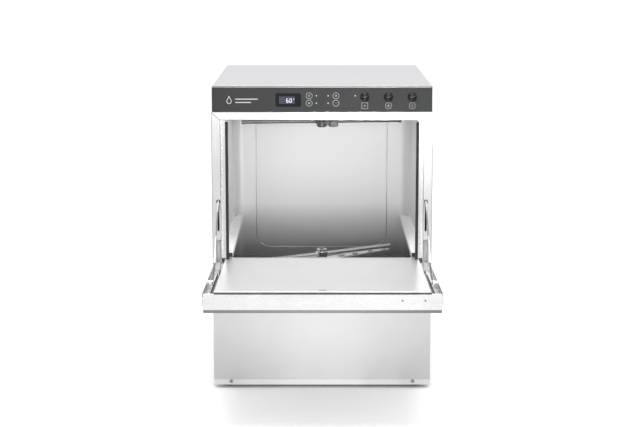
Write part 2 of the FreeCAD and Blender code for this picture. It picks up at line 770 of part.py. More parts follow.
def make_rinse_pipe():
    route = [("boiler_x", 118, "boiler_height"), ("boiler_x", 285, "boiler_height"), ("boiler_x", 285, 815),
             ("boiler_x", -80, 815), (0, -80, 815), (0, -80, 767), (0, -36, 767)]
    subpart("rinse_pipe", pipe_run(route, 6))


def make_spigots():
    """The fixed bearing posts that the spray arms turn on, each with a retaining cap."""
    post, cap = "spigot_radius", "spigot_radius + 3"
    lower = [(8, 262.1), ("spigot_radius + 6", 262.1), ("spigot_radius + 6", 266), ("spigot_radius + 2", 266),
             ("spigot_radius + 2", 278), (post, 278), (post, 325), (cap, 325), (cap, 330),
             ("spigot_radius", 332), (8, 332)]
    subpart("lower_arm_spigot", revolved("lower_arm_spigot", lower), (0, "hub_y", 0))
    upper = [(8, 756.9), ("spigot_radius + 6", 756.9), ("spigot_radius + 6", 753), ("spigot_radius + 2", 753),
             ("spigot_radius + 2", 748), (post, 748), (post, 703), (cap, 703), (cap, 698), (post, 695),
             (8, 695)]
    upper.reverse()
    subpart("upper_arm_spigot", revolved("upper_arm_spigot", upper), (0, "hub_y", 0))


def make_wash_arm(name, low, azimuth, upward):
    """Two tapering hollow arms on a hub, with slit nozzles along one face."""
    high = low + 16
    hub = rod("z", (0, 0), (low - 4, high + 4), 20)
    body = new_body(name + "_blank")
    reach = "wash_arm_reach"
    corners = [("-wash_arm_reach", -8), ("-wash_arm_reach + 8", -13), (-30, -18), (30, -18),
               ("wash_arm_reach - 8", -13), (reach, -8), (reach, 8), ("wash_arm_reach - 8", 13),
               (30, 18), (-30, 18), ("-wash_arm_reach + 8", 13), ("-wash_arm_reach", 8)]
    pad(body, outline(body, "XY_Plane", corners), 16, low)
    soft = rounded(body, 3.0, lambda edge: abs(edge.CenterOfMass.z - low - 8) > 7.9)
    nozzle_z = (high - 1, high + 2) if upward else (low - 2, low + 1)
    raised, slits = [], []
    for x in (-225, -175, -120, -70, 70, 120, 175, 225):
        raised.append(block((x - 9, x + 9), (-4, 4), nozzle_z))
        slits.append(block((x - 7, x + 7), (-1.2, 1.2), (nozzle_z[0] - 4, nozzle_z[1] + 4)))
    inside = [block(span, (-8, 8), (low + 1.5, high - 1.5)) for span in ((22, 232), (-232, -22))]
    bore = rod("z", (0, 0), (low - 8, high + 8), "arm_bore")
    arm = carved(joined(soft, hub, *raised), bore, *slits, *inside)
    subpart(name, arm, (0, "hub_y", 0), (Vector(0, 0, 1), azimuth))


def make_rinse_arm(name, middle, azimuth, upward):
    """A slim pair of tubes on a hub, with small drilled jets."""
    hub = rod("z", (0, 0), (middle - 7, middle + 7), 18)
    tube = rod("x", (0, middle), ("-rinse_arm_reach", "rinse_arm_reach"), 6)
    ends = [rod("x", (0, middle), span, 7) for span in (("-rinse_arm_reach - 2", "-rinse_arm_reach + 8"),
                                                       ("rinse_arm_reach - 8", "rinse_arm_reach + 2"))]
    bore = rod("z", (0, 0), (middle - 10, middle + 10), "arm_bore")
    jets = []
    for x in (-210, -150, -90, 90, 150, 210):
        span = (middle + 3, middle + 9) if upward else (middle - 9, middle - 3)
        jets.append(rod("z", (x, 0), span, 1.2))
    subpart(name, carved(joined(hub, tube, *ends), bore, *jets), (0, "hub_y", 0), (Vector(0, 0, 1), azimuth))


def make_inlet_valve():
    """A solenoid valve whose threaded inlet comes out of the rear panel."""
    body = block((-252, -208), (262, 300), (72, 108))
    coil = rounded(block((-246, -214), (266, 296), (107, 140)), 4.0,
                   lambda edge: runs_along(edge, Vector(0, 0, 1)))
    nut = rod("y", (-230, 90), (310.05, 314), 18)
    thread = rod("y", (-230, 90), (290, 328), "inlet_radius")
    bore = rod("y", (-230, 90), (280, 330), 8)
    subpart("inlet_valve", carved(joined(body, coil, nut, thread), bore))


def make_drain_pipe():
    """From the standpipe's seat in the tank floor, down and back to the rear spigot."""
    route = [("standpipe_x", "standpipe_y", 150), ("standpipe_x", "standpipe_y", 60),
             ("standpipe_x", 320, 60)]
    outer = joined(pipe_run(route, "drain_radius"), rod("z", ("standpipe_x", "standpipe_y"), (150, 186), 19),
                   rod("y", ("standpipe_x", 60), (310.3, 334), "spigot_end_radius"))
    inner = joined(pipe_run(route, "drain_radius - 2"),
                   rod("z", ("standpipe_x", "standpipe_y"), (168, 190), "standpipe_radius + 0.06"),
                   rod("z", ("standpipe_x", "standpipe_y"), (140, 170), "drain_radius - 2"),
                   rod("y", ("standpipe_x", 60), (315, 340), "drain_radius - 2"))
    subpart("drain_pipe", carved(outer, inner))


def make_services():
    """Rinse-aid doser, pressure switch, terminal block with contactor, and the cable gland."""
    doser = joined(block((222, 282), (160, 200), (14.1, 74)), rod("y", (252, 44), (140, 160), 20),
                   rod("y", (241, 44), (132, 140.5), 4), rod("y", (263, 44), (132, 140.5), 4))
    subpart("rinse_aid_doser", doser)
    switch = joined(rod("z", (-262, 60), (14.1, 40), 22), rod("z", (-262, 60), (40, 50), 10),
                    rod("z", (-262, 60), (50, 62), 3))
    subpart("pressure_switch", switch)
    rail = block((222, 286), (20, 86), (14.1, 22))
    contactor = block((226, 254), (26, 80), (22.05, 92))
    blocks = [block((260, 282), (y, y + 9), (22.05, 52)) for y in range(26, 76, 10)]
    subpart("terminal_block", grouped(rail, contactor, *blocks))
    gland = joined(rod("y", (240, 120), (304, 314), 10), rod("y", (240, 120), (310.05, 318), 14),
                   cone("y", (240, 120), (318, 330), 12.5, 9), rod("y", (240, 120), (301, 308.9), 13))
    subpart("cable_gland", carved(gland, rod("y", (240, 120), (295, 335), "gland_bore")))


def make_screws():
    """Pan-head screws: two in the base trim, the rest round the rear panel."""
    screws = []
    for x in (-252, 252):
        head = rod("y", (x, 20.5), (-312, -309.8), 5.5)
        screws.append(joined(head, rod("y", (x, 20.5), (-310, -304), 1.95)))
    for x in (-291, 291):
        for z in (40, 240, 440, 640, 820):
            screws.append(rod("y", (x, z), (310, 312.2), 4.5))
    subpart("cabinet_screws", grouped(*screws))


def make_springs():
    """An extension spring in each post, outside the stay arm, from its inner end to the base."""
    top, low = Vector(0, -284, 536), Vector(0, -240, 62)
    lean = math.degrees(math.atan2(low.y - top.y, top.z - low.z))
    radius = size("spring_radius")
    springs = []
    for side, stems_inward in ((LEFT, 0), (RIGHT, 180)):
        helix = Part.makeHelix(11, 352, radius)
        wire = Part.Wire(Part.makeCircle(1.2, Vector(radius, 0, 0), Vector(0, 1, 0)))
        coil = Part.Wire(helix).makePipeShell([wire], True, True)
        coil.translate(Vector(0, 0, 20))
        stems = [Part.makeCylinder(1.2, length, Vector(radius, 0, z))
                 for length, z in ((17, 0), (95, 374.6))]
        for solid in [coil] + stems:
            solid.rotate(Vector(), Vector(0, 0, 1), stems_inward)
            solid.rotate(Vector(), Vector(1, 0, 0), lean)
            solid.translate(Vector(side * size("spring_across"), low.y, low.z))
            springs.append(solid)
    obj = doc.addObject("Part::Feature", "Springs")
    obj.Shape = Part.makeCompound(springs)
    subpart("door_springs", obj)


# ---------------------------------------------------------------- door
def make_door_skin():
    """The folded outer skin: face, side flanges, full-width handle lip and the stay pins."""
    up, face = "door_reach", "skin_face"
    skin = block((minus("door_half"), "door_half"), (face, "skin_face + gauge"),
                 ("-door_tail", "door_reach - 4"))
    cap = block((minus("door_face_half"), "door_face_half"), ("handle_lip + lip_round", "flange_edge"),
                ("door_reach - 1.2", up))
    rim = block((minus("door_face_half"), "door_face_half"), ("flange_edge - 1", "flange_edge"),
                ("liner_reach + 7", up))
    drop = block((minus("door_face_half"), "door_face_half"), ("handle_lip", "handle_lip + 1.2"),
                 ("door_reach - lip_drop", "door_reach - lip_round"))
    hem = block((minus("door_face_half"), "door_face_half"), ("handle_lip", "handle_lip + 5"),
                ("door_reach - lip_drop", "door_reach - lip_drop + 1.2"))
    bend = carved(rod("x", ("handle_lip + lip_round", "door_reach - lip_round"),
                      (minus("door_face_half"), "door_face_half"), "lip_round"),
                  rod("x", ("handle_lip + lip_round", "door_reach - lip_round"), (-300, 300),
                      "lip_round - 1.2"),
                  block((-300, 300), ("handle_lip - 1", 20), (300, "door_reach - lip_round")),
                  block((-300, 300), ("handle_lip + lip_round", 20), (300, 500)))
    pieces = [skin, cap, rim, drop, hem, bend]
    for side in (LEFT, RIGHT):
        flange = carved(block(across(side, "door_half - gauge", "door_half"), (face, "flange_edge"),
                              ("-door_tail", "door_reach - 4")),
                        block(across(side, 290, 300), (4, 20), (-20, -2)))
        pieces.append(rounded(flange, 9.0, lambda edge: runs_along(edge, Vector(1, 0, 0))
                              and edge.CenterOfMass.z > 400 and edge.CenterOfMass.y > 0))
        pieces.append(block(across(side, "door_face_half - 1.2", "door_face_half"), (face, "flange_edge"),
                            ("door_reach - 8", up)))
        pieces.append(block(across(side, "door_face_half - 1.2", "door_half"), (face, "flange_edge - 6"),
                            ("door_reach - 8", "door_reach - 7")))
        pieces.append(rod("x", (1, "stay_pin_reach"), across(side, 280, "door_half"), "pin_radius"))
        pieces.append(block(across(side, "door_face_half - 1.2", "door_face_half"), ("handle_lip + 1", face),
                            ("door_reach - lip_drop", "door_reach - 1")))
    on_door("door_outer_skin", joined(*pieces))


def make_door_liner():
    """The inner panel, with walls down to the skin and a tail that laps over the sill."""
    half, deep = "liner_half", "skin_face + 1.2"
    plate = block((minus(half), half), ("liner_face - 1", "liner_face"), ("-liner_tail", "liner_reach"))
    walls = [block(across(side, "liner_half - 1", half), (deep, "liner_face"), ("-door_tail", "liner_reach"))
             for side in (LEFT, RIGHT)]
    end = block((minus(half), half), (deep, "liner_face"), ("liner_reach - 1", "liner_reach"))
    soft = rounded(joined(plate, end, *walls), 2.0,
                   lambda edge: edge.CenterOfMass.y > 12.9
                   and edge.CenterOfMass.z > size("liner_reach") - 0.1)
    on_door("door_inner_panel", soft)


def make_hinge_levers():
    """A thick bar in each side channel, bored for the hinge pin."""
    levers = []
    for side in (LEFT, RIGHT):
        span = across(side, "liner_half + 0.05", "post_inner - 0.4")
        bar = joined(block(span, (-7, 7), (0, 110)), rod("x", (0, 0), span, 7))
        heads = [rod("x", (0, reach), across(side, "post_inner - 1", "post_inner + 2"), 4.5)
                 for reach in (50, 95)]
        levers.append(carved(joined(bar, *heads), rod("x", (0, 0), (-290, 290), "pin_bore")))
    on_door("door_hinge_levers", grouped(*levers))


def make_door_fittings():
    """The two small screws in the door's end face, the strike plate and its screws."""
    screws = [rod("z", (x, -5), ("door_reach", "door_reach + 1"), 2.6) for x in (195, 250)]
    on_door("door_screws", grouped(*screws))
    strike = block((-9, 9), ("liner_face + 0.05", "liner_face + 0.6"),
                   ("liner_reach - 15", "liner_reach - 3"))
    on_door("door_strike", grouped(strike))


def make_catch():
    """The magnetic catch under the top bar."""
    holder = block((-9, 7), (-306, -291), ("bar_low - 6", "bar_low - 0.05"))
    subpart("door_catch", rounded(holder, 1.5, lambda edge: edge.CenterOfMass.z < 745.7))


STAY_PATH = ((0, 0), (30, 9), (60, 15), (82, 29), (104, 52), (142, 88), (204, 139), (244, 166), (254, 172))


def make_stay_arm(name, side):
    """A cranked flat strap: an eye on the door pin, and a cross pin that stops it behind the post."""
    outer, inner = "keyhole_across + stay_gauge / 2", "keyhole_across - stay_gauge / 2"
    span = (inner, outer) if side == RIGHT else (minus(outer), minus(inner))
    pieces = []
    for (y, z), (y_next, z_next) in zip(STAY_PATH[:-1], STAY_PATH[1:]):
        leg = doc.addObject("Part::Box", "Leg")
        angle = math.degrees(math.atan2(z_next - z, y_next - y))
        lean = Rotation(Vector(1, 0, 0), angle)
        leg.Placement = Placement(Vector(0, y, z) + lean.multVec(Vector(0, 0, -size("stay_half"))), lean)
        bind(leg, "Placement.Base.x", span[0])
        bind(leg, "Length", "stay_gauge")
        leg.Width = math.hypot(y_next - y, z_next - z)
        bind(leg, "Height", "2 * stay_half")
        pieces.append(leg)
    pieces += [rod("x", place, span, "stay_half") for place in STAY_PATH[1:]]
    pieces.append(rod("x", (0, 0), span, "stay_half + 3"))
    stop_span = across(side, "keyhole_across - 4", "keyhole_across + 4")
    pieces.append(rod("x", STAY_PATH[-1], stop_span, 3.5))
    strap = carved(joined(*pieces), rod("x", (0, 0), (-300, 300), "pin_bore"))
    reach_y = "hinge_y - stay_pin_reach * cos(door_tilt * 1 deg) + sin(door_tilt * 1 deg)"
    reach_z = "hinge_z + stay_pin_reach * sin(door_tilt * 1 deg) + cos(door_tilt * 1 deg)"
    subpart(name, strap, (0, reach_y, reach_z))


# ---------------------------------------------------------------- assembly
def build():
    make_base_frame()
    make_feet()
    make_side_panel("side_panel_left", LEFT)
    make_side_panel("side_panel_right", RIGHT)
    make_top_panel()
    make_rear_panel()
    make_front_lower_panel()
    make_base_trim()
    make_front_frame()
    make_door_sill()
    make_hinge_bracket("hinge_bracket_left", LEFT)
    make_hinge_bracket("hinge_bracket_right", RIGHT)
    make_control_panel()
    make_display_window()
    make_control_board()
    make_lamps()
    make_bezels()
    for name, x in BUTTONS:
        make_button(name, x)
    make_wash_chamber()
    make_wash_tank()
    make_gasket()
    make_rack_rail("rack_rail_left", LEFT)
    make_rack_rail("rack_rail_right", RIGHT)
    make_tank_strainer()
    make_standpipe()
    make_tank_heater()
    make_boiler()
    make_boiler_heater()
    make_pump()
    make_impeller()
    make_manifold()
    make_rinse_pipe()
    make_spigots()
    make_wash_arm("lower_wash_arm", 286, "lower_wash_azimuth", True)
    make_rinse_arm("lower_rinse_arm", 316, "lower_rinse_azimuth", True)
    make_wash_arm("upper_wash_arm", 727, "upper_wash_azimuth", False)
    make_rinse_arm("upper_rinse_arm", 712, "upper_rinse_azimuth", False)
    make_inlet_valve()
    make_drain_pipe()
    make_services()
    make_screws()
    make_springs()
    make_door_skin()
    make_door_liner()
    make_hinge_levers()
    make_door_fittings()
    make_catch()
    make_stay_arm("stay_arm_left", LEFT)
    make_stay_arm("stay_arm_right", RIGHT)
    doc.recompute()


def check():
    """Stop unless every object computed and every sub-part is a valid shape with solids."""
    failed = [f"{obj.Label} ({obj.Name})" for obj in doc.Objects if {"Invalid", "Error"} & set(obj.State)]
    for obj in SUBPARTS:
        if obj.Shape.isNull() or not obj.Shape.isValid() or not obj.Shape.Solids:
            failed.append(obj.Label)
    if failed:
        raise RuntimeError("no valid shape: " + ", ".join(failed))


build()
check()
os.makedirs("parts", exist_ok=True)
for subpart_object in SUBPARTS:
    subpart_object.Shape.exportStep(f"parts/{subpart_object.Label}.step")
print(len(SUBPARTS), "sub-parts written")
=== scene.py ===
"""Looks for the under-counter dishwasher: materials, fascia graphics, buttons, screws, light and camera."""
import json
import math

import bmesh
import bpy
from mathutils import Matrix, Vector


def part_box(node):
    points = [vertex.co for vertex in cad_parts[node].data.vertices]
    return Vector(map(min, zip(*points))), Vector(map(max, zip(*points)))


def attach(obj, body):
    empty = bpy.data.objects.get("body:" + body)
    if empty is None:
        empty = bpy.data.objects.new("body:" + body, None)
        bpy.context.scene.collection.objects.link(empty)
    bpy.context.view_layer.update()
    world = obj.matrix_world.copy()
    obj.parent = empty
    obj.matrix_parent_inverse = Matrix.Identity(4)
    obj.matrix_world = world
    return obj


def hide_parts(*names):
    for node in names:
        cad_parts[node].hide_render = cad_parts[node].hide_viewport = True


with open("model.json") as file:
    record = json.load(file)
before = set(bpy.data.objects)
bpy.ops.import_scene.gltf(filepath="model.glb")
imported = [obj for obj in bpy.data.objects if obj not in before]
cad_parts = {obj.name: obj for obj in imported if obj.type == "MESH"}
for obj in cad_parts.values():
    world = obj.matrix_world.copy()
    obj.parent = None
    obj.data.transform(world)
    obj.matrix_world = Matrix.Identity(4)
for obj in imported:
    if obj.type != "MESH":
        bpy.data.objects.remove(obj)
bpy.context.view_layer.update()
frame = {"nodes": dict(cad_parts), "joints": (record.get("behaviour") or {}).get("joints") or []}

NODES = frame["nodes"]
MM = 0.001
FRONT_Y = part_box("control_panel")[0][1]
FORWARD = Vector((0, -1, 0))
INK_RISE = 0.12 * MM
BAND_LOW, BAND_HIGH = 0.3, 0.7  # most of a noise's values lie between these


# ---------------------------------------------------------------- node helpers
def new_material(name, color, metallic, roughness):
    """A Principled material, its node tree and its shader."""
    mat = bpy.data.materials.new(name)
    mat.use_nodes = True
    tree = mat.node_tree
    shader = tree.nodes["Principled BSDF"]
    shader.inputs["Base Color"].default_value = (*color, 1)
    shader.inputs["Metallic"].default_value = metallic
    shader.inputs["Roughness"].default_value = roughness
    mat.diffuse_color = (*color, 1)
    return mat, tree, shader


def noise(tree, stretch, detail=4.0, rough=0.55):
    """Noise in the object's own metres, stretched by cells per metre along X, Y and Z."""
    place = tree.nodes.new("ShaderNodeTexCoord")
    mapping = tree.nodes.new("ShaderNodeMapping")
    mapping.inputs["Scale"].default_value = stretch
    tex = tree.nodes.new("ShaderNodeTexNoise")
    tex.inputs["Scale"].default_value = 1.0
    tex.inputs["Detail"].default_value = detail
    tex.inputs["Roughness"].default_value = rough
    tree.links.new(place.outputs["Object"], mapping.inputs["Vector"])
    tree.links.new(mapping.outputs["Vector"], tex.inputs["Vector"])
    return tex.outputs["Fac"]


def spread(tree, value, low, high, out_low, out_high):
    """Map a value's low..high to out_low..out_high."""
    node = tree.nodes.new("ShaderNodeMapRange")
    node.inputs["From Min"].default_value = low
    node.inputs["From Max"].default_value = high
    node.inputs["To Min"].default_value = out_low
    node.inputs["To Max"].default_value = out_high
    tree.links.new(value, node.inputs["Value"])
    return node.outputs["Result"]


def added(tree, first, second):
    """The sum of two values."""
    node = tree.nodes.new("ShaderNodeMath")
    node.operation = "ADD"
    tree.links.new(first, node.inputs[0])
    tree.links.new(second, node.inputs[1])
    return node.outputs["Value"]


def bumped(tree, shader, height, strength, distance):
    """Fine relief from a height value, its distance in metres."""
    node = tree.nodes.new("ShaderNodeBump")
    node.inputs["Strength"].default_value = strength
    node.inputs["Distance"].default_value = distance
    tree.links.new(height, node.inputs["Height"])
    tree.links.new(node.outputs["Normal"], shader.inputs["Normal"])


def tinted(tree, shader, value, dark, light):
    """Base colour between two colours by a value from 0 to 1."""
    ramp = tree.nodes.new("ShaderNodeValToRGB")
    ramp.color_ramp.elements[0].color = (*dark, 1)
    ramp.color_ramp.elements[1].color = (*light, 1)
    ramp.color_ramp.elements[0].position = BAND_LOW
    ramp.color_ramp.elements[1].position = BAND_HIGH
    tree.links.new(value, ramp.inputs["Fac"])
    tree.links.new(ramp.outputs["Color"], shader.inputs["Base Color"])


# ---------------------------------------------------------------- materials
ALONG_X, ALONG_Y, ALONG_Z = (5, 900, 900), (900, 5, 900), (900, 900, 5)


def brushed_steel(name, color, roughness, grain, depth=0.1, smear=0.04, metallic=1.0):
    """Rolled stainless sheet: fine grain along one axis, cloudy wipe marks and a slight tone drift."""
    mat, tree, shader = new_material(name, color, metallic, roughness)
    lines = noise(tree, grain, 3.0, 0.6)
    clouds = noise(tree, (7, 7, 7), 5.0, 0.6)
    fine = spread(tree, lines, BAND_LOW, BAND_HIGH, roughness - 0.02, roughness + 0.03)
    cloudy = spread(tree, clouds, BAND_LOW, BAND_HIGH, -smear / 2, smear / 2)
    tree.links.new(added(tree, fine, cloudy), shader.inputs["Roughness"])
    dark = [c * 0.965 for c in color]
    tinted(tree, shader, clouds, dark, color)
    bumped(tree, shader, lines, depth, 0.00004)
    return mat


# Heights in metres of the painted shade on the chamber: full below the first, gone above the second.
SHADE_FULL_BELOW, SHADE_GONE_ABOVE = 0.26, 0.42


def tub_steel(name, color, shaded_color):
    """The chamber's satin sheet with painted shade, its base colour darker towards the tank: object Z runs in
    metres from the floor.
    """
    mat = brushed_steel(name, color, 0.38, ALONG_X, 0.02, 0.03, 0.4)
    tree = mat.node_tree
    shader = tree.nodes["Principled BSDF"]
    place = tree.nodes.new("ShaderNodeTexCoord")
    split = tree.nodes.new("ShaderNodeSeparateXYZ")
    tree.links.new(place.outputs["Object"], split.inputs["Vector"])
    height = spread(tree, split.outputs["Z"], SHADE_FULL_BELOW, SHADE_GONE_ABOVE, BAND_LOW, BAND_HIGH)
    tinted(tree, shader, height, shaded_color, color)
    return mat


def plastic(name, color, roughness, grain=2200.0, depth=0.12, coat=0.0):
    """Moulded plastic with a fine spark texture and faint unevenness of gloss."""
    mat, tree, shader = new_material(name, color, 0.0, roughness)
    spark = noise(tree, (grain, grain, grain), 2.0)
    clouds = noise(tree, (30, 30, 30), 4.0)
    gloss = spread(tree, clouds, BAND_LOW, BAND_HIGH, roughness - 0.04, roughness + 0.05)
    tree.links.new(gloss, shader.inputs["Roughness"])
    light = [min(1.0, c * 1.12 + 0.002) for c in color]
    tinted(tree, shader, clouds, color, light)
    bumped(tree, shader, spark, depth, 0.00003)
    shader.inputs["Coat Weight"].default_value = coat
    shader.inputs["Coat Roughness"].default_value = 0.06
    return mat


def zinc_plate(name, color, roughness):
    """Plated steel: mottled tone with small crystals."""
    mat, tree, shader = new_material(name, color, 1.0, roughness)
    crystals = noise(tree, (260, 260, 260), 3.0)
    tinted(tree, shader, crystals, [c * 0.8 for c in color], color)
    gloss = spread(tree, crystals, BAND_LOW, BAND_HIGH, roughness - 0.08, roughness + 0.1)
    tree.links.new(gloss, shader.inputs["Roughness"])
    bumped(tree, shader, crystals, 0.15, 0.00005)
    return mat


def glowing(name, color, strength):
    """A surface that gives off an even light."""
    mat, _, shader = new_material(name, color, 0.0, 0.4)
    shader.inputs["Emission Color"].default_value = (*color, 1)
    shader.inputs["Emission Strength"].default_value = strength
    return mat


def smoked_glass(name):
    """The display's dark window, with a faint haze in its gloss."""
    mat, tree, shader = new_material(name, (0.012, 0.013, 0.018), 0.0, 0.08)
    haze = noise(tree, (60, 60, 60), 3.0)
    tree.links.new(spread(tree, haze, BAND_LOW, BAND_HIGH, 0.06, 0.12), shader.inputs["Roughness"])
    shader.inputs["Specular IOR Level"].default_value = 0.25
    return mat


def satin_coat(name, color):
    """The fascia's dark coating: even satin with a very fine orange peel."""
    mat, tree, shader = new_material(name, color, 0.0, 0.42)
    peel = noise(tree, (700, 700, 700), 3.0)
    clouds = noise(tree, (12, 12, 12), 4.0)
    tree.links.new(spread(tree, clouds, BAND_LOW, BAND_HIGH, 0.36, 0.46), shader.inputs["Roughness"])
    tinted(tree, shader, clouds, [c * 0.93 for c in color], color)
    bumped(tree, shader, peel, 0.1, 0.00003)
    return mat


STEEL_FRONT = brushed_steel("steel_front", (0.86, 0.86, 0.865), 0.34, ALONG_X, 0.05)
STEEL_TRIM = brushed_steel("steel_trim", (0.97, 0.97, 0.97), 0.34, ALONG_X, 0.05, 0.04, 0.7)
STEEL_SIDE = brushed_steel("steel_side", (0.80, 0.80, 0.805), 0.32, ALONG_Z)
STEEL_TOP = brushed_steel("steel_top", (0.84, 0.84, 0.845), 0.32, ALONG_X)
STEEL_BRIGHT = brushed_steel("steel_bright", (0.97, 0.97, 0.97), 0.24, ALONG_Z, 0.05, 0.03)
STEEL_DOOR = brushed_steel("steel_door", (0.98, 0.98, 0.98), 0.26, ALONG_X, 0.05, 0.03, 0.75)
STEEL_LINER = brushed_steel("steel_liner", (0.84, 0.84, 0.84), 0.34, ALONG_X, 0.03, 0.03, 0.7)
# Painted shade: the chamber's sheet darkens to a 0.3 grey towards the tank.
STEEL_TUB = tub_steel("steel_tub", (0.97, 0.97, 0.97), (0.3, 0.3, 0.3))
# Painted shade: the wash tank and its strainer take a dark copy of the steel.
STEEL_TANK = brushed_steel("steel_tank", (0.32, 0.32, 0.32), 0.3, ALONG_X, 0.04, 0.03)
STEEL_RAIL = brushed_steel("steel_rail", (0.99, 0.99, 0.99), 0.4, ALONG_Y, 0.02, 0.03, 0.0)
STEEL_STAY = brushed_steel("steel_stay", (0.3, 0.3, 0.3), 0.26, ALONG_Z, 0.05, 0.03)
STEEL_PLATE = brushed_steel("steel_plate", (0.75, 0.75, 0.75), 0.4, ALONG_Z, 0.05, 0.03, 0.5)
# Painted shade: a dark copy of the steel for the top panel's hem and the door lip's roll.
STEEL_HEM = brushed_steel("steel_hem", (0.36, 0.36, 0.36), 0.3, ALONG_X, 0.05, 0.03)
STEEL_ARM = brushed_steel("steel_arm", (0.9, 0.9, 0.9), 0.16, (400, 400, 400), 0.1, 0.06)
# Painted shade: the upper arms take a dark copy of the arm steel.
STEEL_UPPER = brushed_steel("steel_upper_arm", (0.2, 0.2, 0.2), 0.24, (400, 400, 400), 0.1, 0.06)
ZINC = zinc_plate("zinc_plate", (0.58, 0.59, 0.6), 0.34)
SPRING = zinc_plate("spring_wire", (0.4, 0.4, 0.42), 0.4)
FASCIA = satin_coat("fascia_coat", (0.022, 0.023, 0.024))
LENS = smoked_glass("display_lens")
GLOSS_BLACK = plastic("gloss_black", (0.003, 0.003, 0.003), 0.08, 300, 0.0)
MATT_BLACK = plastic("matt_black", (0.02, 0.02, 0.021), 0.5)
RUBBER = plastic("gasket_rubber", (0.012, 0.012, 0.013), 0.55, 900, 0.3)
GREY = plastic("grey_plastic", (0.4, 0.41, 0.42), 0.45)
BOARD = plastic("board_green", (0.03, 0.16, 0.06), 0.4)
ENAMEL = satin_coat("motor_enamel", (0.08, 0.085, 0.095))
LAMP = plastic("lamp_guide", (0.62, 0.63, 0.64), 0.5)
INK = plastic("white_ink", (0.5, 0.51, 0.52), 0.5)
SEAM = plastic("seam_shade", (0.1, 0.1, 0.1), 0.6)
LIT_PANEL = glowing("lit_panel", (0.03, 0.03, 0.05), 0.2)
DIGIT = glowing("digit_glow", (0.75, 0.8, 1.0), 0.9)

BY_NODE = {
    STEEL_FRONT: ("front_lower_panel",),
    STEEL_TRIM: ("base_trim",),
    STEEL_SIDE: ("side_panel_left", "side_panel_right", "rear_panel", "base_frame"),
    STEEL_TOP: ("top_panel",),
    STEEL_BRIGHT: ("front_frame",),
    STEEL_RAIL: ("rack_rail_left", "rack_rail_right"),
    STEEL_STAY: ("stay_arm_left", "stay_arm_right"),
    STEEL_DOOR: ("door_outer_skin",),
    STEEL_LINER: ("door_inner_panel",),
    STEEL_TUB: ("wash_chamber", "door_sill", "boiler_shell", "rinse_pipe"),
    STEEL_TANK: ("wash_tank", "tank_strainer"),
    STEEL_ARM: ("lower_wash_arm", "lower_rinse_arm", "lower_arm_spigot", "tank_heater", "pump_impeller"),
    STEEL_UPPER: ("upper_wash_arm", "upper_rinse_arm", "upper_arm_spigot"),
    ZINC: ("hinge_bracket_left", "hinge_bracket_right", "door_hinge_levers", "door_strike",
           "boiler_heater", "cabinet_screws"),
    SPRING: ("door_springs", "door_screws"),
    FASCIA: ("control_panel",),
    LENS: ("display_window",),
    GLOSS_BLACK: ("button_bezels", "button_power", "button_program", "button_start"),
    MATT_BLACK: ("foot_front_left", "foot_front_right", "foot_rear_left", "foot_rear_right", "door_catch",
                 "wash_pump_housing", "pressure_switch", "terminal_block", "cable_gland"),
    RUBBER: ("door_gasket",),
    GREY: ("overflow_standpipe", "wash_manifold", "inlet_valve", "drain_pipe", "rinse_aid_doser"),
    BOARD: ("control_board",),
    ENAMEL: ("wash_pump_motor",),
    LAMP: ("indicator_lamps",),
}


def dress(obj, mat):
    """One material on an object, and none of its old slots."""
    obj.data.materials.clear()
    obj.data.materials.append(mat)


def dress_cad():
    """Every CAD node in its material."""
    for mat, names in BY_NODE.items():
        for name in names:
            dress(NODES[name], mat)


# ---------------------------------------------------------------- mesh helpers
def mesh_object(name, build, mat, body):
    """A named piece from a function that fills a bmesh, dressed and riding on a body."""
    bm = bmesh.new()
    build(bm)
    bmesh.ops.recalc_face_normals(bm, faces=bm.faces)
    data = bpy.data.meshes.new(name)
    bm.to_mesh(data)
    bm.free()
    obj = bpy.data.objects.new(name, data)
    bpy.context.scene.collection.objects.link(obj)
    dress(obj, mat)
    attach(obj, body)
    return obj


def slab(bm, corners, rise):
    """A thin solid whose outline is given on the fascia as (x, z) in metres."""
    back = [bm.verts.new((x, FRONT_Y + 0.02 * MM, z)) for x, z in corners]
    face = [bm.verts.new((x, FRONT_Y - rise, z)) for x, z in corners]
    count = len(corners)
    bm.faces.new(face)
    bm.faces.new(back[::-1])
    for i in range(count):
        j = (i + 1) % count
        bm.faces.new((face[i], back[i], back[j], face[j]))


def arc_band(bm, centre, radius, width, start=0.0, sweep=360.0, steps=48):
    """A thin ring or part of one, as a chain of slabs."""
    inner, outer = radius - width / 2, radius + width / 2
    x, z = centre
    for i in range(steps):
        a = math.radians(start + sweep * i / steps)
        b = math.radians(start + sweep * (i + 1) / steps)
        corners = [(x + r * math.cos(turn), z + r * math.sin(turn))
                   for r, turn in ((inner, a), (outer, a), (outer, b), (inner, b))]
        slab(bm, corners, INK_RISE)


def stroke(bm, points, width):
    """A polyline drawn with a pen of a given width."""
    for (x0, z0), (x1, z1) in zip(points[:-1], points[1:]):
        along = Vector((x1 - x0, z1 - z0)).normalized()
        side = Vector((-along.y, along.x)) * width / 2
        reach = along * width / 2
        xa, za, xb, zb = x0 - reach.x, z0 - reach.y, x1 + reach.x, z1 + reach.y
        slab(bm, [(xa + side.x, za + side.y), (xa - side.x, za - side.y),
                  (xb - side.x, zb - side.y), (xb + side.x, zb + side.y)], INK_RISE)


